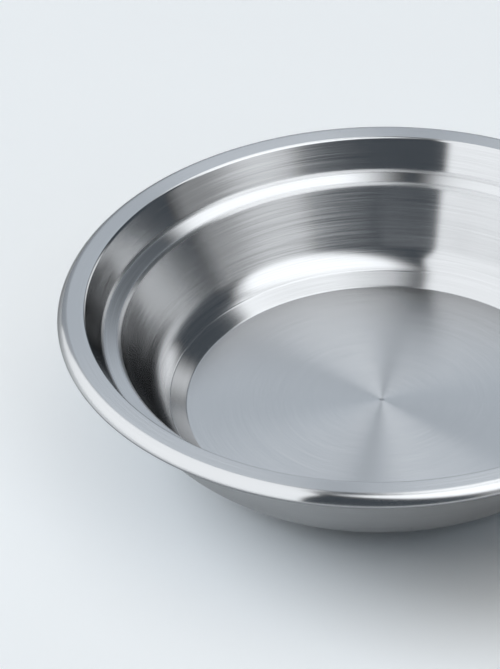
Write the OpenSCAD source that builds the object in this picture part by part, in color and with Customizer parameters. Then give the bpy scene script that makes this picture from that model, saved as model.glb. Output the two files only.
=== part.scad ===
// Hot water plate: a stepped steel dish that lifts out of a steel pan of hot water.
// Millimetres, +Z up. The origin is on the table, under the centre of the plate.

/* [Rim] */
// Diameter over the rolled bead
rim_od = 230; // [200:1:270]
// Thickness of the rolled bead
bead_d = 6.4; // [5.6:0.1:8]
// How far the sheet is rolled round the bead, in degrees
bead_roll = 290; // [240:5:300]
// Rounding of the mouth's edge
mouth_round = 1.2; // [1:0.1:2]

/* [Dish] */
// Sheet thickness of the dish
dish_t = 0.8; // [0.6:0.05:0.9]
// Height of the collar under the mouth
collar_h = 10.9; // [8:0.1:14]
// How far the collar leans in
collar_in = 5.8; // [4:0.1:8]
// Rounding between the collar and the step
collar_round = 1.6; // [1:0.1:3]
// Width of the step
step_w = 6.3; // [4:0.1:9]
// Fall of the step towards the well
step_fall = 1.7; // [0.5:0.1:3]
// Rounding of the step's inner edge
step_round = 2; // [1.2:0.1:3]
// Height of the sloping wall
wall_h = 24.6; // [20:0.1:32]
// How far the sloping wall leans in
wall_in = 12.4; // [9:0.1:16]
// Radius of the heel, where the wall turns into the bevel
heel_r = 16; // [8:0.5:18]
// Height of the bevel round the floor
bevel_h = 5.5; // [4:0.1:7]
// Width of the bevel round the floor
bevel_w = 10.6; // [9:0.1:13]
// Rounding of the floor's edge
floor_round = 2; // [1:0.1:4]

/* [Pan] */
// Sheet thickness of the pan
pan_t = 0.8; // [0.6:0.05:1.2]
// Depth of water space under the dish's floor
water_gap = 5.7; // [4:0.1:9]
// Least gap between the dish's heel and the pan
heel_gap = 2; // [1:0.1:4]
// Radius of the pan's round flank
pan_round = 50; // [40:1:60]
// Height of the pan's upright edge
edge_h = 6; // [5:0.1:9]
// Radius where the upright edge turns into the flank
edge_round = 5; // [2:0.5:8]
// Height that the base panel is pressed up
panel_h = 1.2; // [0.8:0.1:2]
// Width of the base's standing ring
standing_w = 3; // [2:0.1:5]
// Rounding of the base panel's bends
panel_round = 1.2; // [1:0.1:2]

/* [Rubber] */
// Wall of the gasket channel
gasket_wall = 0.7; // [0.5:0.05:1]
// How far the gasket reaches down the pan's edge
gasket_leg = 3.4; // [2:0.1:4]
// Width of the foot ring
foot_w = 9; // [6:0.1:14]
// How far the foot ring stands below the pan
foot_proud = 1; // [0.6:0.1:2]
// Rounding of the foot ring's lower edges
foot_round = 0.5; // [0.2:0.1:0.8]

/* [Clearances] */
// Gap beside the gasket, so that the dish lifts freely
lift_gap = 0.4; // [0.3:0.05:0.8]
// Gap between the wire and the rolled sheet
wire_gap = 0.15; // [0.05:0.05:0.3]
// Gap between the gasket and the pan's edge
gasket_gap = 0.05; // [0.02:0.01:0.1]
// Gap between the foot ring and the panel's bend
foot_gap = 0.5; // [0.2:0.1:1]

/* [Hidden] */
$fn = 160;
steel = "silver";
rubber = "dimgray";
// Largest step round a bend, in degrees
bend_step = 6;
// Share of a straight that one bend may take up
bend_share = 0.49;

// Heights
foot_t = panel_h + foot_proud;
panel_z = foot_t;
dish_under_z = panel_z + pan_t + water_gap;
floor_z = dish_under_z + dish_t;
heel_z = floor_z + bevel_h;
step_z = heel_z + wall_h;
collar_z = step_z + step_fall;
rim_z = collar_z + collar_h;
bead_z = rim_z - bead_d / 2;
seat_z = rim_z - dish_t;
edge_top_z = seat_z - gasket_wall;
edge_foot_z = edge_top_z - edge_h;

// Radii, from the bead inwards
bead_r = rim_od / 2 - bead_d / 2;
gasket_ro = rim_od / 2 - bead_d - lift_gap;
edge_ro = gasket_ro - gasket_wall - gasket_gap;
edge_ri = edge_ro - pan_t;
gasket_ri = edge_ri - gasket_gap - gasket_wall;
mouth_reach = mouth_round * tan(atan2(collar_h, collar_in) / 2);
mouth_r = gasket_ri - mouth_reach;
collar_r = mouth_r - collar_in;
step_r = collar_r - step_w;
heel_apex_r = step_r - wall_in;
floor_r = heel_apex_r - bevel_w;

// Dish section, along its upper surface from the bead to the middle
dish_path = [
    [bead_r, rim_z],
    [mouth_r, rim_z],
    [collar_r, collar_z],
    [step_r, step_z],
    [heel_apex_r, heel_z],
    [floor_r, floor_z],
    [0, floor_z],
];
dish_rounds = [0, mouth_round, collar_round, step_round, heel_r, floor_round, 0];

// Pan section: its round flank runs inside the dish's heel, heel_gap away from it
heel_centre = bend_centre(dish_path, dish_rounds, 4);
flank_z = foot_proud + pan_round;
flank_reach = pan_round - pan_t - heel_gap - dish_t - bend_radius(dish_path, dish_rounds, 4);
flank_r = heel_centre.x - sqrt(pow(flank_reach, 2) - pow(heel_centre.y - flank_z, 2));
edge_foot = [edge_ro, edge_foot_z];
flank_slope = tangent_slope(edge_foot, [flank_r, flank_z], pan_round);
flank_apex_r = edge_ro - (edge_foot_z - foot_proud) / tan(flank_slope);
panel_r = flank_r - standing_w;

// Pan section, along its lower surface from the middle to the edge
pan_path = [
    [0, panel_z],
    [panel_r - panel_h, panel_z],
    [panel_r, foot_proud],
    [flank_apex_r, foot_proud],
    edge_foot,
    [edge_ro, edge_top_z],
];
pan_rounds = [0, panel_round, panel_round + pan_t, pan_round, edge_round, 0];

// Gasket section, along the slot that takes the pan's edge
slot_path = [
    [edge_ri - gasket_gap, edge_top_z - gasket_leg],
    [edge_ri - gasket_gap, edge_top_z],
    [edge_ro + gasket_gap, edge_top_z],
    [edge_ro + gasket_gap, edge_top_z - gasket_leg],
];
slot_rounds = [0, 0, 0, 0];

// Foot section, along its sides and sole
foot_ro = panel_r - panel_h - foot_gap;
foot_ri = foot_ro - foot_w;
foot_path = [
    [foot_ri, foot_t],
    [foot_ri, 0],
    [foot_ro, 0],
    [foot_ro, foot_t],
];
foot_rounds = [0, foot_round, foot_round, 0];

function unit(v) = v / norm(v);
function left_of(v) = [-v.y, v.x];
function reversed(list) = [for (i = [len(list) - 1 : -1 : 0]) list[i]];
function into(path, i) = unit(path[i] - path[i - 1]);
function out_of(path, i) = unit(path[i + 1] - path[i]);

// Angle that a path turns by at corner i, positive to the left
function turn_at(path, i) =
    let (a = into(path, i), b = out_of(path, i))
    atan2(a.x * b.y - a.y * b.x, a * b);

// Radius of the bend at corner i, no more than its straights have room for
function bend_radius(path, rounds, i) =
    let (room = min(norm(path[i] - path[i - 1]), norm(path[i + 1] - path[i])))
    min(rounds[i], bend_share * room / tan(abs(turn_at(path, i)) / 2));

// Centre of the bend at corner i
function bend_centre(path, rounds, i) =
    let (r = bend_radius(path, rounds, i), turn = turn_at(path, i), a = into(path, i))
    path[i] - r * tan(abs(turn) / 2) * a + sign(turn) * r * left_of(a);

// Points round the bend at corner i, on the surface that lies off to the left of the path
function bend_points(path, rounds, i, off) =
    let (
        turn = turn_at(path, i),
        steps = ceil(abs(turn) / bend_step),
        start = -sign(turn) * left_of(into(path, i)),
        from = atan2(start.y, start.x),
        r = bend_radius(path, rounds, i) - sign(turn) * off
    )
    arc(bend_centre(path, rounds, i), r, from, from + turn, steps);

// Points round an arc
function arc(centre, r, from, to, steps) =
    [for (k = [0 : steps]) let (a = from + (to - from) * k / steps) centre + r * [cos(a), sin(a)]];

// A path with its corners rounded, moved off to its left
function skin(path, rounds, off) =
    let (last = len(path) - 1)
    concat(
        [path[0] + off * left_of(out_of(path, 0))],
        [for (i = [1 : last - 1]) each bend_points(path, rounds, i, off)],
        [path[last] + off * left_of(into(path, last))]
    );

// Outline of a sheet of thickness t on the left of a path
function sheet(path, rounds, t) =
    concat(skin(path, rounds, 0), reversed(skin(path, rounds, t)));

// Slope of the line from a point that touches the lower side of a circle
function tangent_slope(point, centre, r) =
    let (d = centre - point)
    atan2(d.y, d.x) + asin(r / norm(d)) - 180;

// Points round the rolled bead, from the sheet's end to the top of the rim
function bead_points(r) =
    arc([bead_r, bead_z], r, 90 - bead_roll, 90, ceil(bead_roll / (2 * bend_step)));

module food_dish() {
    outside = concat(bead_points(bead_d / 2), skin(dish_path, dish_rounds, 0));
    inside = concat(bead_points(bead_d / 2 - dish_t), skin(dish_path, dish_rounds, dish_t));
    color(steel)
        rotate_extrude()
            polygon(concat(outside, reversed(inside)));
}

module rim_wire() {
    color(steel)
        rotate_extrude()
            translate([bead_r, bead_z])
                circle(r = bead_d / 2 - dish_t - wire_gap);
}

module rim_gasket() {
    color(rubber)
        rotate_extrude()
            polygon(sheet(slot_path, slot_rounds, gasket_wall));
}

module water_pan() {
    color(steel)
        rotate_extrude()
            polygon(sheet(pan_path, pan_rounds, pan_t));
}

module foot_ring() {
    color(rubber)
        rotate_extrude()
            polygon(skin(foot_path, foot_rounds, 0));
}

food_dish();
rim_wire();
rim_gasket();
water_pan();
foot_ring();
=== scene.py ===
"""Looks of a hot water plate: a stepped steel dish that lies in a steel pan of hot water.

Every piece is turned about the plate's axis, +Z, so each is a section carried round that axis.
Sections are drawn in millimetres as (radius, height); the meshes are in metres. The origin is
on the table, under the middle of the plate.
"""
import math

import bpy
import numpy as np
from mathutils import Matrix, Vector


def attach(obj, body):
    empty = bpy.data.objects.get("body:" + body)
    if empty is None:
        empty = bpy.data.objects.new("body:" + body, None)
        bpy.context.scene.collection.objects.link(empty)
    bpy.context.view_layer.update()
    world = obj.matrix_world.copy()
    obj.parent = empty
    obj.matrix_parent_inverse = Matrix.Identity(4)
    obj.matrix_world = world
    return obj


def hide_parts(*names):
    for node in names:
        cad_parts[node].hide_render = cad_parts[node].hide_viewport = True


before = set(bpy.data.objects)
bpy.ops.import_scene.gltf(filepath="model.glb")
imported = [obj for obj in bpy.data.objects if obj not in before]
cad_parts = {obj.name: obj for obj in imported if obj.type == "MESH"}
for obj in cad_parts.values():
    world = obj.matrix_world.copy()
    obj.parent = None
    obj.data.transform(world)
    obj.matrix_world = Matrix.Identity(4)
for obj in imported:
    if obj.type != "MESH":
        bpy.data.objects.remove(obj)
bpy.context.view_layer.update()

MM = 0.001
# Points round the axis in each ring of a turned piece
RING_POINTS = 240

# Rim, in millimetres
RIM_R, RIM_Z = 115.0, 52.2
MOUTH_R, MOUTH_ROUND = 105.18, 1.2

# Wire in the rim, in millimetres
WIRE_IN = 3.2
WIRE_AT = np.array([RIM_R - WIRE_IN, RIM_Z - WIRE_IN])
WIRE_RADIUS, WIRE_GAP = 1.85, 0.15

# Roll over the wire: radii of its shoulder, face and lip in millimetres, and the degrees above level where the
# shoulder, the face and the whole roll end
SHOULDER_ROUND, SHOULDER_END = 3.2, 45.0
FACE_ROUND, FACE_END = 6.3, 18.0
LIP_ROUND = 1.0
ROLL_END = -193.0

# Dish, in millimetres
DISH_T = 0.8
COLLAR_R, COLLAR_Z, COLLAR_ROUND = 99.38, 41.3, 1.6
STEP_R, STEP_Z, STEP_ROUND = 93.08, 39.6, 2.0
HEEL_R, HEEL_Z, HEEL_ROUND = 80.68, 15.0, 16.0
FLOOR_R, FLOOR_Z, FLOOR_ROUND = 70.08, 9.5, 2.0
RING_LINE_R = 76.1
RING_LINE_DEEP, RING_LINE_WIDE = 0.05, 0.16
CENTRE_DEEP, CENTRE_WIDE = 0.12, 0.8

# Pan, in millimetres
PAN_T = 0.8
PANEL_R, PANEL_Z, PANEL_ROUND = 47.29, 2.2, 1.2
STAND_Z = 1.0
FLANK_R, FLANK_ROUND = 75.6, 50.0
EDGE_R, EDGE_FOOT_Z, EDGE_TOP_Z, EDGE_ROUND = 107.45, 44.7, 50.7, 5.0

# Rubber, in millimetres
GASKET_WALL, GASKET_LEG, GASKET_GAP = 0.7, 3.4, 0.05
GASKET_EDGE, SLOT_EDGE = 0.25, 0.15
FOOT_IN_R, FOOT_OUT_R, FOOT_ROUND, FOOT_TOP_EDGE = 36.59, 45.59, 0.5, 0.1

# Finish of the dish's top, as (radius, finish), from 0 for a polish to 1 for a matt satin
TOP_FINISH = [
    # Floor
    (40, 0.5), (69.5, 0.45),
    # Bevel, heel and wall
    (70.5, 0.35), (82, 0.35), (86, 0.4), (92.5, 0.4),
    # Step, between its matt edges
    (92.8, 0.9), (93.8, 0.9), (94.2, 0.1), (98.5, 0.1), (98.8, 0.9), (99.6, 0.9),
    # Collar, mouth and flat rim
    (99.9, 0.25), (104, 0.25), (105.2, 0.2), (106.4, 0.5),
]
# How much brush marks show on the dish's top, as (radius, share)
TOP_BRUSH = [
    # Floor, bevel and wall
    (72, 0.35), (78, 0.7), (82, 1.0), (92, 1.0),
    # Step, collar and flat rim
    (93, 0.5), (99, 0.5), (100, 0.9), (104, 0.9), (106, 0.4),
]
# How far the steel's colour is darkened in the centre mark, as (radius, share)
CENTRE_DARK = [(0.5, 0.45), (1.2, 0)]
# Finish of the roll, and its painted shade, as (degrees above level that it faces, value)
ROLL_FINISH = [(5, 0.45), (20, 0.18), (42, 0.18), (58, 0.45)]
# Painted shade: the roll's colour is darkened where it faces level and downwards, under its lip, for the shaded table
# that it mirrors
ROLL_PAINTED_SHADE = [(4, 0.65), (22, 0)]
ROLL_BRUSH = 0.1
UNDER_FINISH, UNDER_BRUSH = 0.6, 0.5


# Sections

def unit(v):
    """A vector of length one along v."""
    return v / np.linalg.norm(v)


def left_of(v):
    """v turned a quarter turn to the left."""
    return np.array([-v[1], v[0]])


def sweep(start, end, turn):
    """Even steps from start to end in degrees, none larger than turn."""
    return np.linspace(start, end, max(2, math.ceil(abs(end - start) / turn)) + 1)


def heading(angle):
    """The vector of length one at an angle in degrees."""
    return np.stack([np.cos(np.radians(angle)), np.sin(np.radians(angle))], -1)


def arc(centre, radius, start, end, turn):
    """Points centre + radius (cos a, sin a), with a going from start to end in degrees."""
    return np.asarray(centre) + radius * heading(sweep(start, end, turn))


def straight(a, b, step):
    """Points between a and b, without the ends, set closer towards both ends by a half cosine wave."""
    steps = max(3, math.ceil(np.linalg.norm(b - a) / step))
    t = (1 - np.cos(np.pi * np.arange(1, steps) / steps)) / 2
    return a + t[:, None] * (b - a)


def skin(path, rounds, turn, step, off=0.0):
    """A path moved off to its left, with every corner rounded to an arc that touches both its straights.

    Arcs have a point for every turn in degrees, and straights for every step in millimetres.
    """
    path = np.asarray(path, float)
    bends = [path[:1] + off * left_of(unit(path[1] - path[0]))]
    for before, corner, after, radius in zip(path, path[1:], path[2:], rounds[1:]):
        a, b = unit(corner - before), unit(after - corner)
        bend = math.atan2(a[0] * b[1] - a[1] * b[0], a @ b)
        side = math.copysign(1.0, bend)
        centre = corner - radius * math.tan(abs(bend) / 2) * a + side * radius * left_of(a)
        start = math.degrees(math.atan2(*(-side * left_of(a))[::-1]))
        bends.append(arc(centre, radius - side * off, start, start + math.degrees(bend), turn))
    bends.append(path[-1:] + off * left_of(unit(path[-1] - path[-2])))
    parts = [bends[0]]
    for bend in bends[1:]:
        parts += [straight(parts[-1][-1], bend[0], step), bend]
    return np.vstack(parts)


def sheet_end(a, b):
    """Half a circle from a to b, to the left of the line from a to b: the rounded end of a sheet."""
    middle, across = (a + b) / 2, (a - b) / 2
    start = math.degrees(math.atan2(across[1], across[0]))
    return arc(middle, np.linalg.norm(across), start, start - 180, 30)[1:-1]


def dip(section, place, deep, wide):
    """Lowers a section by deep exp(-(d / wide)^2), where d is the distance along the radius from place.

    Points are put in along the section, a third of wide apart, for three times wide on both sides of place.
    """
    added = np.arange(place - 3 * wide, place + 3 * wide + 1e-9, wide / 3)
    added = added[added > 1e-6]
    inwards = np.argsort(section[:, 0])
    extra = np.stack([added, np.interp(added, section[inwards, 0], section[inwards, 1])], 1)
    section = np.vstack([section, extra])
    section = section[np.argsort(-section[:, 0], kind="stable")]
    d = (section[:, 0] - place) / wide
    return section - np.stack([np.zeros(len(d)), deep * np.exp(-d * d)], 1)


def graded(places, pairs):
    """Values at places, straight between (place, value) pairs and level beyond the first and the last."""
    return np.interp(places, *zip(*pairs))


# Meshes

def turned(name, section, ring=False, **marks):
    """A section carried round the axis: point (i, j) is (r_i cos a_j, r_i sin a_j, z_i).

    The angle a_j is 2 pi j / RING_POINTS. A ring's section is a closed loop. Any other section starts and ends on the
    axis, where its ring is one point. The section runs clockwise, so that faces point outwards. The attribute along is
    the length of section up to a point, in metres, and each further mark is a value for every point of the section.
    """
    section = np.asarray(section)
    count = len(section)
    along = np.r_[0, np.cumsum(np.linalg.norm(np.diff(section, axis=0), axis=1))] * MM
    a = 2 * np.pi * np.arange(RING_POINTS) / RING_POINTS
    inner = section if ring else section[1:-1]
    r, z = inner[:, :1] * MM, inner[:, 1:] * MM
    level = np.broadcast_to(z, (len(inner), RING_POINTS))
    points = np.stack([r * np.cos(a), r * np.sin(a), level], -1).reshape(-1, 3)
    rows = np.arange(len(inner) * RING_POINTS).reshape(len(inner), RING_POINTS)
    ahead = np.roll(rows, -1, 0) if ring else rows[1:]
    here = rows if ring else rows[:-1]
    faces = np.stack([here, ahead, np.roll(ahead, -1, 1), np.roll(here, -1, 1)], -1).reshape(-1, 4).tolist()
    per_point = {"along": along, **marks}
    values = {key: np.repeat(value if ring else value[1:-1], RING_POINTS) for key, value in per_point.items()}
    if not ring:
        top, bottom = len(points), len(points) + 1
        points = np.vstack([points, [[0, 0, section[0, 1] * MM], [0, 0, section[-1, 1] * MM]]])
        first, last = rows[0], rows[-1]
        faces += np.stack([np.full(RING_POINTS, top), first, np.roll(first, -1)], -1).tolist()
        faces += np.stack([np.full(RING_POINTS, bottom), np.roll(last, -1), last], -1).tolist()
        values = {key: np.r_[values[key], value[[0, count - 1]]] for key, value in per_point.items()}
    mesh = bpy.data.meshes.new(name)
    mesh.from_pydata(points.tolist(), [], faces)
    for key, value in values.items():
        mesh.attributes.new(key, "FLOAT", "POINT").data.foreach_set("value", value.astype(np.float32))
    mesh.polygons.foreach_set("use_smooth", np.ones(len(mesh.polygons), bool))
    mesh.update()
    piece = bpy.data.objects.new(name, mesh)
    bpy.context.scene.collection.objects.link(piece)
    return piece


# Pieces

def roll(inset, turn):
    """The roll at the rim, inset from its outside, from the flat rim to the sheet's end.

    It is four arcs: a shoulder, a flatter face and a tight lip, each of which goes on in the direction in which the
    last one ends, and a round part about the wire. A straight that touches the lip and the round part joins them.
    Returns the points, the angle that each faces, and the radius at which the roll leaves the flat rim.
    """
    down = (FACE_ROUND - SHOULDER_ROUND) * heading(SHOULDER_END)
    out = (FACE_ROUND - LIP_ROUND) * heading(FACE_END)
    lip = np.array([RIM_R - LIP_ROUND, RIM_Z - SHOULDER_ROUND - down[1] + out[1]])
    face = lip - out
    shoulder = face + down
    wrap = WIRE_RADIUS + WIRE_GAP + DISH_T
    apart = lip - WIRE_AT
    tuck = math.degrees(math.atan2(apart[1], apart[0]) - math.acos((wrap - LIP_ROUND) / np.linalg.norm(apart)))
    bends = [
        (shoulder, SHOULDER_ROUND, sweep(90, SHOULDER_END, turn)),
        (face, FACE_ROUND, sweep(SHOULDER_END, FACE_END, turn / 2)[1:]),
        (lip, LIP_ROUND, sweep(FACE_END, tuck, 1.5 * turn)[1:]),
        (WIRE_AT, wrap, sweep(tuck, ROLL_END, 1.5 * turn)),
    ]
    points = np.vstack([centre + (radius - inset) * heading(angles) for centre, radius, angles in bends])
    return points, np.concatenate([angles for _, _, angles in bends]), shoulder[0]


def dish_section():
    """The dish's section from the middle of the floor, along the top to the rim, round the roll, and back underneath.

    Returns its points and, for each, its finish, how much its brush marks show, and how far its colour is darkened:
    painted shade under the roll's face, and a darker centre mark.
    """
    roll_out, facing, flat_end = roll(0.0, 3.5)
    roll_in = roll(DISH_T, 10.0)[0][::-1]
    path = [
        (flat_end, RIM_Z), (MOUTH_R, RIM_Z), (COLLAR_R, COLLAR_Z), (STEP_R, STEP_Z),
        (HEEL_R, HEEL_Z), (FLOOR_R, FLOOR_Z), (0, FLOOR_Z),
    ]
    rounds = [0, MOUTH_ROUND, COLLAR_ROUND, STEP_ROUND, HEEL_ROUND, FLOOR_ROUND]
    top = skin(path, rounds, turn=2.5, step=1.6)
    top = dip(top, RING_LINE_R, RING_LINE_DEEP, RING_LINE_WIDE)
    top = dip(top, 0, CENTRE_DEEP, CENTRE_WIDE)
    under = skin(path, rounds, turn=5.0, step=4.0, off=DISH_T)
    section = np.vstack([top[::-1], roll_out[1:], sheet_end(roll_out[-1], roll_in[0]), roll_in, under[1:]])
    marks = dict(even_finish(section, UNDER_FINISH, UNDER_BRUSH), painted_shade_and_mark=np.zeros(len(section)))
    count = len(top)
    r = section[:count, 0]
    marks["finish"][:count] = graded(r, TOP_FINISH)
    marks["brush"][:count] = graded(r, TOP_BRUSH)
    marks["painted_shade_and_mark"][:count] = graded(r, CENTRE_DARK)
    rolled = np.s_[count:count + len(roll_out) - 1]
    marks["finish"][rolled] = graded(facing[1:], ROLL_FINISH)
    marks["brush"][rolled] = ROLL_BRUSH
    # Painted shade: the roll's colour is darkened under its lip
    marks["painted_shade_and_mark"][rolled] = graded(facing[1:], ROLL_PAINTED_SHADE)
    return section, marks


def even_finish(section, finish, brush):
    """The same finish and brush marks along a whole section."""
    return dict(finish=np.full(len(section), finish), brush=np.full(len(section), brush))


def wire_section():
    """A circle inside the roll, clockwise."""
    return arc(WIRE_AT, WIRE_RADIUS, 0, -360, 9.0)[:-1]


def gasket_section():
    """A channel's section, open below: up its outside, over, down and back round the slot, with its edges broken."""
    slot_in, slot_out = EDGE_R - PAN_T - GASKET_GAP, EDGE_R + GASKET_GAP
    low, roof = EDGE_TOP_Z - GASKET_LEG, EDGE_TOP_Z
    path = [
        (slot_in - GASKET_WALL / 2, low), (slot_in - GASKET_WALL, low), (slot_in - GASKET_WALL, roof + GASKET_WALL),
        (slot_out + GASKET_WALL, roof + GASKET_WALL), (slot_out + GASKET_WALL, low), (slot_out, low), (slot_out, roof),
        (slot_in, roof), (slot_in, low), (slot_in - GASKET_WALL / 2, low),
    ]
    rounds = [0] + [GASKET_EDGE] * 4 + [SLOT_EDGE] * 4
    return skin(path, rounds, turn=15.0, step=1.0)[:-1]


def pan_section():
    """The pan's section from the middle of its base, along the inside to the edge, over it, and back underneath."""
    path = [
        (0, PANEL_Z), (PANEL_R - PANEL_Z + STAND_Z, PANEL_Z), (PANEL_R, STAND_Z), (FLANK_R, STAND_Z),
        (EDGE_R, EDGE_FOOT_Z), (EDGE_R, EDGE_TOP_Z - PAN_T / 2),
    ]
    rounds = [0, PANEL_ROUND, PANEL_ROUND + PAN_T, FLANK_ROUND, EDGE_ROUND]
    under = skin(path, rounds, turn=2.0, step=2.0)
    inside = skin(path, rounds, turn=3.0, step=3.0, off=PAN_T)
    return np.vstack([inside, sheet_end(inside[-1], under[-1]), under[::-1]])


def foot_section():
    """The foot ring's section, clockwise, with its lower edges rounded."""
    middle = (FOOT_IN_R + FOOT_OUT_R) / 2
    path = [
        (middle, PANEL_Z), (FOOT_OUT_R, PANEL_Z), (FOOT_OUT_R, 0),
        (FOOT_IN_R, 0), (FOOT_IN_R, PANEL_Z), (middle, PANEL_Z),
    ]
    return skin(path, [0, FOOT_TOP_EDGE, FOOT_ROUND, FOOT_ROUND, FOOT_TOP_EDGE], turn=10.0, step=2.0)[:-1]


# Materials

# Bands are wider than the marks and run further round: their runs, and their share of the marks' fineness
BAND_RUNS, BAND_FINENESS = 0.6, 0.15
# How far marks and bands change the colour, and how far marks and washed patches change the roughness
MARK_SHADE, BAND_SHADE = 1.6, 0.4
MARK_ROUGH, WASHED_ROUGH = 0.12, 0.05
# Dark colour for the painted shade under the roll's lip, and for the darker centre mark
SHADE_AND_MARK_DARK = (0.14, 0.148, 0.16)
# Share of the mirror light that brushed steel keeps at grazing angles
GRAZING = (0.35, 0.35, 0.35, 1)


def add(tree, kind, **inputs):
    """A shader node, with its inputs set to values or linked to sockets by name."""
    node = tree.nodes.new(kind)
    for name, value in inputs.items():
        place(tree, node, name.replace("_", " "), value)
    return node


def place(tree, node, name, value):
    """Sets one input of a node, or links a socket to it."""
    if isinstance(value, bpy.types.NodeSocket):
        tree.links.new(value, node.inputs[name])
    else:
        node.inputs[name].default_value = value


def sums(tree, operation, *values):
    """The output of a Math node."""
    node = tree.nodes.new("ShaderNodeMath")
    node.operation = operation
    for index, value in enumerate(values):
        place(tree, node, index, value)
    return node.outputs[0]


def attribute(tree, name):
    """A value that the mesh holds for each point, or 0 where it has none of that name."""
    node = tree.nodes.new("ShaderNodeAttribute")
    node.attribute_name = name
    return node.outputs["Fac"]


def spread(tree, value, low, high):
    """A value from 0 to 1, stretched to run from low to high."""
    node = add(tree, "ShaderNodeMapRange", Value=value)
    node.inputs["To Min"].default_value, node.inputs["To Max"].default_value = low, high
    return node.outputs["Result"]


def node_group(name, inputs, outputs):
    """An empty shader node group with named sockets, and its input and output nodes."""
    tree = bpy.data.node_groups.new(name, "ShaderNodeTree")
    for label, kind, value in inputs:
        tree.interface.new_socket(label, in_out="INPUT", socket_type=kind).default_value = value
    for label, kind in outputs:
        tree.interface.new_socket(label, in_out="OUTPUT", socket_type=kind)
    return tree, tree.nodes.new("NodeGroupInput"), tree.nodes.new("NodeGroupOutput")


def turned_marks_group():
    """Fine marks that run round the axis: noise over (cos angle, sin angle, length along the section)."""
    tree, given, out = node_group(
        "turned_marks",
        [("Fineness", "NodeSocketFloat", 1800.0), ("Runs", "NodeSocketFloat", 2.0), ("Seed", "NodeSocketFloat", 0.0)],
        [("Marks", "NodeSocketFloat"), ("Bands", "NodeSocketFloat")],
    )
    where = tree.nodes.new("ShaderNodeTexCoord").outputs["Object"]
    flat = tree.nodes.new("ShaderNodeVectorMath")
    flat.operation = "MULTIPLY"
    tree.links.new(where, flat.inputs[0])
    flat.inputs[1].default_value = (1, 1, 0)
    round_axis = tree.nodes.new("ShaderNodeVectorMath")
    round_axis.operation = "NORMALIZE"
    tree.links.new(flat.outputs[0], round_axis.inputs[0])
    angle = add(tree, "ShaderNodeSeparateXYZ", Vector=round_axis.outputs[0])
    along = attribute(tree, "along")

    def noise(runs, fineness, detail):
        """Noise that is long round the axis and narrow across the section."""
        vector = add(
            tree, "ShaderNodeCombineXYZ",
            X=sums(tree, "MULTIPLY", angle.outputs["X"], runs),
            Y=sums(tree, "MULTIPLY", angle.outputs["Y"], runs),
            Z=sums(tree, "MULTIPLY_ADD", along, fineness, given.outputs["Seed"]),
        )
        node = add(tree, "ShaderNodeTexNoise", Vector=vector.outputs[0], Scale=1.0, Detail=detail, Roughness=0.65)
        return node.outputs["Fac"]

    fine = noise(given.outputs["Runs"], given.outputs["Fineness"], 1.0)
    coarse = noise(BAND_RUNS, sums(tree, "MULTIPLY", given.outputs["Fineness"], BAND_FINENESS), 1.0)
    tree.links.new(fine, out.inputs["Marks"])
    tree.links.new(coarse, out.inputs["Bands"])
    return tree


def washed_patches_group():
    """Soft uneven patches, from handling and washing: noise over Object coordinates."""
    tree, given, out = node_group(
        "washed_patches",
        [("Size", "NodeSocketFloat", 30.0), ("Seed", "NodeSocketFloat", 0.0)],
        [("Patches", "NodeSocketFloat")],
    )
    where = tree.nodes.new("ShaderNodeTexCoord").outputs["Object"]
    noise = tree.nodes.new("ShaderNodeTexNoise")
    noise.noise_dimensions = "4D"
    settings = dict(Vector=where, W=given.outputs["Seed"], Scale=given.outputs["Size"], Detail=4.0, Roughness=0.55)
    for name, value in settings.items():
        place(tree, noise, name, value)
    tree.links.new(noise.outputs["Fac"], out.inputs["Patches"])
    return tree


TURNED_MARKS = turned_marks_group()
WASHED_PATCHES = washed_patches_group()


def use(tree, group, **inputs):
    """A node group placed in a material with its own values."""
    node = tree.nodes.new("ShaderNodeGroup")
    node.node_tree = group
    for name, value in inputs.items():
        place(tree, node, name, value)
    return node


def new_material(name):
    """A material with nothing in it but a Principled BSDF and its output."""
    material = bpy.data.materials.new(name)
    material.use_nodes = True
    return material, material.node_tree, material.node_tree.nodes["Principled BSDF"]


def tint(tree, factor, dark, light):
    """A colour between dark and light, each a colour or a socket, by a factor from 0 to 1."""
    node = tree.nodes.new("ShaderNodeMix")
    node.data_type = "RGBA"
    place(tree, node, 0, factor)
    for index, colour in ((6, dark), (7, light)):
        place(tree, node, index, colour if isinstance(colour, bpy.types.NodeSocket) else (*colour, 1))
    return node.outputs[2]


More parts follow.
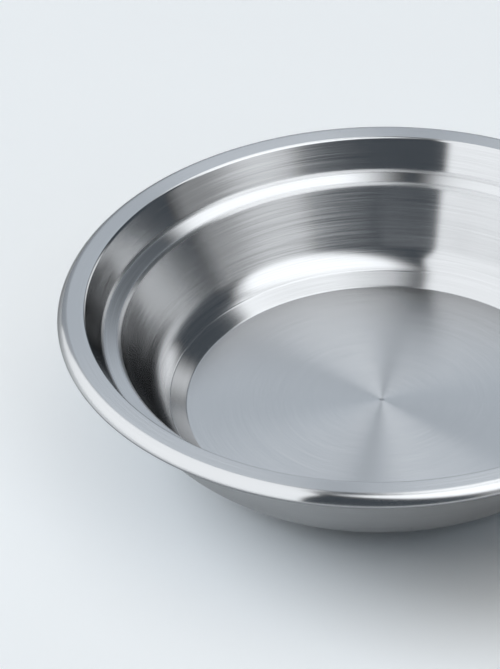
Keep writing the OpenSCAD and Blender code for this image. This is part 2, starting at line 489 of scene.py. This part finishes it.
def turned_steel(name, dark, light, rough_low, rough_high, anisotropy, fineness, runs, bump, seed):
    """Steel with turned marks.

    The attributes finish and brush set its roughness and its marks, and a third attribute paints its colour darker:
    painted shade under the dish's roll, and a darker centre mark.
    """
    material, tree, shader = new_material(name)
    marks = use(tree, TURNED_MARKS, Fineness=fineness, Runs=runs, Seed=seed)
    patches = use(tree, WASHED_PATCHES, Size=22.0, Seed=seed)
    finish, brush, painted_shade_and_mark = (attribute(tree, mark) for mark in ("finish", "brush", "painted_shade_and_mark"))
    lines = sums(tree, "MULTIPLY", sums(tree, "SUBTRACT", marks.outputs["Marks"], 0.5), brush)
    bands = sums(tree, "MULTIPLY", sums(tree, "SUBTRACT", marks.outputs["Bands"], 0.5), brush)
    both = sums(tree, "MULTIPLY_ADD", lines, MARK_SHADE, sums(tree, "MULTIPLY", bands, BAND_SHADE))
    shade = sums(tree, "ADD", 0.5, both)
    # Base colour painted darker by the third attribute: painted shade under the roll, and the darker centre mark
    place(tree, shader, "Base Color", tint(tree, painted_shade_and_mark, tint(tree, shade, dark, light), SHADE_AND_MARK_DARK))
    base = spread(tree, finish, rough_low, rough_high)
    worn = sums(tree, "MULTIPLY", sums(tree, "SUBTRACT", patches.outputs["Patches"], 0.5), WASHED_ROUGH)
    place(tree, shader, "Roughness", sums(tree, "ADD", base, sums(tree, "MULTIPLY_ADD", lines, MARK_ROUGH, worn)))
    place(tree, shader, "Metallic", 1.0)
    place(tree, shader, "Specular Tint", GRAZING)
    place(tree, shader, "Anisotropic", anisotropy)
    place(tree, shader, "Anisotropic Rotation", 0.25)
    tangent = tree.nodes.new("ShaderNodeTangent")
    tangent.direction_type, tangent.axis = "RADIAL", "Z"
    place(tree, shader, "Tangent", tangent.outputs[0])
    relief = add(tree, "ShaderNodeBump", Height=lines, Strength=bump, Distance=0.0001)
    place(tree, shader, "Normal", relief.outputs[0])
    return material


def moulded_silicone(name, dark, light, seed):
    """Matt silicone with a fine sparked grain and soft patches."""
    material, tree, shader = new_material(name)
    patches = use(tree, WASHED_PATCHES, Size=60.0, Seed=seed)
    grain = use(tree, WASHED_PATCHES, Size=2600.0, Seed=seed + 3)
    place(tree, shader, "Base Color", tint(tree, patches.outputs["Patches"], dark, light))
    place(tree, shader, "Roughness", spread(tree, grain.outputs["Patches"], 0.5, 0.75))
    relief = add(tree, "ShaderNodeBump", Height=grain.outputs["Patches"], Strength=0.25, Distance=0.00005)
    place(tree, shader, "Normal", relief.outputs[0])
    return material


DISH_STEEL = turned_steel(
    "turned_dish_steel", dark=(0.52, 0.522, 0.525), light=(0.64, 0.642, 0.645), rough_low=0.08, rough_high=0.32,
    anisotropy=1.0, fineness=2200.0, runs=2.0, bump=0.09, seed=0.0,
)
PAN_STEEL = turned_steel(
    "turned_pan_steel", dark=(0.5, 0.505, 0.51), light=(0.62, 0.625, 0.63), rough_low=0.2, rough_high=0.36,
    anisotropy=0.9, fineness=1800.0, runs=3.0, bump=0.12, seed=7.0,
)
WIRE_STEEL = turned_steel(
    "drawn_wire_steel", dark=(0.58, 0.60, 0.62), light=(0.72, 0.735, 0.75), rough_low=0.25, rough_high=0.4,
    anisotropy=0.5, fineness=3000.0, runs=6.0, bump=0.2, seed=13.0,
)
GASKET_SILICONE = moulded_silicone("gasket_silicone", dark=(0.32, 0.33, 0.34), light=(0.4, 0.41, 0.42), seed=0.0)
FOOT_SILICONE = moulded_silicone("foot_silicone", dark=(0.17, 0.17, 0.18), light=(0.23, 0.23, 0.24), seed=5.0)


def dress(piece, body, node, material):
    """Gives a piece its material, puts it on the body that it rides, and hides the CAD part of the node that it stands
    for.
    """
    piece.data.materials.append(material)
    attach(piece, body)
    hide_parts(node)


section, finishes = dish_section()
dress(turned("dish", section, **finishes), "dish", "food_dish", DISH_STEEL)

section = wire_section()
wire = turned("wire", section, ring=True, **even_finish(section, finish=0.5, brush=0.5))
dress(wire, "dish", "rim_wire", WIRE_STEEL)

section = gasket_section()
dress(turned("gasket", section, ring=True), "pan", "rim_gasket", GASKET_SILICONE)

section = pan_section()
pan = turned("pan", section, **even_finish(section, finish=0.6, brush=0.6))
dress(pan, "pan", "water_pan", PAN_STEEL)

section = foot_section()
dress(turned("foot", section, ring=True), "pan", "foot_ring", FOOT_SILICONE)


# Floor

def floor_material():
    """A pale, slightly cool table top with a faint sheen."""
    material, tree, shader = new_material("pale_table")
    patches = use(tree, WASHED_PATCHES, Size=3.0, Seed=2.0)
    colour = tint(tree, patches.outputs["Patches"], (0.885, 0.893, 0.888), (0.915, 0.923, 0.918))
    place(tree, shader, "Base Color", colour)
    place(tree, shader, "Roughness", spread(tree, patches.outputs["Patches"], 0.45, 0.55))
    return material


# Half the table's width, and how far it lies below the foot ring, in metres
TABLE_HALF, TABLE_DROP = 12.0, 0.0001
sides = ((-1, -1), (1, -1), (1, 1), (-1, 1))
floor_mesh = bpy.data.meshes.new("floor")
floor_mesh.from_pydata([(x * TABLE_HALF, y * TABLE_HALF, -TABLE_DROP) for x, y in sides], [], [(0, 1, 2, 3)])
floor = bpy.data.objects.new("floor", floor_mesh)
bpy.context.scene.collection.objects.link(floor)
floor_mesh.materials.append(floor_material())


# Light

def way(azimuth, elevation):
    """The direction to a point of the light tent. Azimuth 0 is the camera's side, and 90 is to its right."""
    a, e = math.radians(azimuth), math.radians(elevation)
    return np.array([math.sin(a) * math.cos(e), -math.cos(a) * math.cos(e), math.sin(e)])


def tent_edge_group():
    """One edge of a panel of the light tent: a smooth step over the way's dot product with the edge's normal."""
    tree, given, out = node_group(
        "tent_edge",
        [("Way", "NodeSocketVector", (0, 0, 1)), ("Edge", "NodeSocketVector", (0, 0, 1))],
        [("Inside", "NodeSocketFloat")],
    )
    dot = tree.nodes.new("ShaderNodeVectorMath")
    dot.operation = "DOT_PRODUCT"
    tree.links.new(given.outputs["Way"], dot.inputs[0])
    tree.links.new(given.outputs["Edge"], dot.inputs[1])
    ramp = add(tree, "ShaderNodeMapRange", Value=dot.outputs["Value"])
    ramp.interpolation_type = "SMOOTHSTEP"
    ramp.inputs["From Min"].default_value, ramp.inputs["From Max"].default_value = -1.0, 1.0
    tree.links.new(ramp.outputs["Result"], out.inputs["Inside"])
    return tree


COLD, COOL = (0.84, 1.0, 1.18), (0.91, 1.0, 1.1)
PLAIN, WARM = (0.97, 1.0, 1.03), (1.02, 1.0, 0.97)
# Panels of the tent: brightness, colour, softness of the edges in degrees, and corners as (azimuth, elevation)
PANELS = {
    "window": (1.4, PLAIN, 2, [(-25, -20), (-25, 53), (-102, 80), (-140, 76), (-138, -20)]),
    "window_back": (1.5, PLAIN, 2, [(-130, 15), (-120, 79), (-170, 65), (-170, 52)]),
    "ceiling_front": (
        1.85, PLAIN, 7,
        [(24, 30), (42, 18), (62, 18), (76, 29), (102, 54), (110, 80), (-92, 82), (-22, 69), (2, 50)],
    ),
    "sill": (0.4, PLAIN, 6, [(32, -10), (32, 22), (84, 22), (84, -10)]),
    "ceiling_back": (1.8, PLAIN, 3, [(106, 54), (157, 50), (181, 50), (180, 78), (120, 80)]),
    "back": (0.81, COOL, 5, [(163, -20), (163, 48), (-160, 48), (-172, -20)]),
    "back_left": (0.5, COOL, 5, [(-170, -20), (-170, 50), (-135, 35), (-135, -20)]),
    "back_right": (1.2, PLAIN, 6, [(126, -10), (126, 26), (150, 33), (150, -10)]),
}
# Brightness of the tent between its panels, and the plain colour that the camera sees behind the floor
TENT_DARK = 0.09
BACKDROP = (0.80, 0.84, 0.87, 1.0)

world = bpy.data.worlds.new("light_tent")
bpy.context.scene.world = world
world.use_nodes = True
world.cycles_visibility.diffuse = False
sky = world.node_tree
background = sky.nodes["Background"]
direction = sky.nodes.new("ShaderNodeTexCoord").outputs["Generated"]
TENT_EDGE = tent_edge_group()
light = tuple(TENT_DARK * shade for shade in COLD)
for strength, colour, softness, corners in PANELS.values():
    corners = [way(*corner) for corner in corners]
    middle = sum(corners)
    panel = strength
    for a, b in zip(corners, corners[1:] + corners[:1]):
        edge = unit(np.cross(a, b))
        edge *= math.copysign(1 / math.sin(math.radians(softness)), edge @ middle)
        panel = sums(sky, "MULTIPLY", panel, use(sky, TENT_EDGE, Way=direction, Edge=edge).outputs["Inside"])
    tinted = sky.nodes.new("ShaderNodeVectorMath")
    tinted.operation = "SCALE"
    tinted.inputs[0].default_value = colour
    sky.links.new(panel, tinted.inputs["Scale"])
    brighter = sky.nodes.new("ShaderNodeVectorMath")
    brighter.operation = "MAXIMUM"
    place(sky, brighter, 0, light)
    place(sky, brighter, 1, tinted.outputs[0])
    light = brighter.outputs[0]
sky.links.new(light, background.inputs["Color"])
plain = add(sky, "ShaderNodeBackground", Color=BACKDROP, Strength=1.0)
seen = sky.nodes.new("ShaderNodeMixShader")
sky.links.new(sky.nodes.new("ShaderNodeLightPath").outputs["Is Camera Ray"], seen.inputs[0])
sky.links.new(background.outputs[0], seen.inputs[1])
sky.links.new(plain.outputs[0], seen.inputs[2])
sky.links.new(seen.outputs[0], sky.nodes["World Output"].inputs["Surface"])


def soft_lamp(name, colour, azimuth, elevation, far, size, share):
    """A square lamp that faces the plate and gives the floor a share of the light at which white renders white.

    A lamp of power P lights the floor by P sin(elevation) / (pi far)^2. Steel shows the tent and not the lamps.
    """
    light = bpy.data.lights.new(name, "AREA")
    light.shape, light.size = "SQUARE", size
    light.energy = share * (math.pi * far) ** 2 / math.sin(math.radians(elevation))
    light.color = colour
    lamp = bpy.data.objects.new(name, light)
    bpy.context.scene.collection.objects.link(lamp)
    towards = way(azimuth, elevation)
    lamp.location = far * towards
    lamp.rotation_euler = Vector(towards).to_track_quat("Z", "Y").to_euler()
    lamp.visible_glossy = False
    lamp.visible_camera = False


soft_lamp("window_lamp", COOL, azimuth=-102, elevation=32, far=13.0, size=9.5, share=0.48)
soft_lamp("ceiling_lamp", WARM, azimuth=0, elevation=90, far=12.0, size=21.0, share=0.85)
soft_lamp("front_lamp", COLD, azimuth=40, elevation=35, far=13.0, size=7.0, share=0.06)


# Camera

# The picture's longer side in pixels, the lens in the same pixels, and the sensor's side in millimetres
IMAGE_HIGH, FOCAL_PIXELS, SENSOR = 669, 6000.0, 36.0
# How far the camera looks down, and to the left of +Y
PITCH, YAW = math.radians(35.77), math.radians(2.205)
CAMERA_AT = (0.0356, -1.7347, 1.2879)

camera = bpy.data.objects.new("camera", bpy.data.cameras.new("camera"))
bpy.context.scene.collection.objects.link(camera)
bpy.context.scene.camera = camera
camera.data.sensor_width = SENSOR
camera.data.lens = FOCAL_PIXELS / IMAGE_HIGH * SENSOR
camera.data.clip_start, camera.data.clip_end = 0.05, 50.0
ahead = np.array([0, math.cos(PITCH), -math.sin(PITCH)])
aside = np.array([1.0, 0, 0])
upward = np.array([0, math.sin(PITCH), math.cos(PITCH)])
look = math.cos(YAW) * ahead - math.sin(YAW) * aside
across = math.cos(YAW) * aside + math.sin(YAW) * ahead
turn = np.eye(4)
turn[:3, 0], turn[:3, 1], turn[:3, 2], turn[:3, 3] = across, upward, -look, CAMERA_AT
camera.matrix_world = Matrix(turn.tolist())

bpy.context.scene.view_settings.view_transform = "Standard"
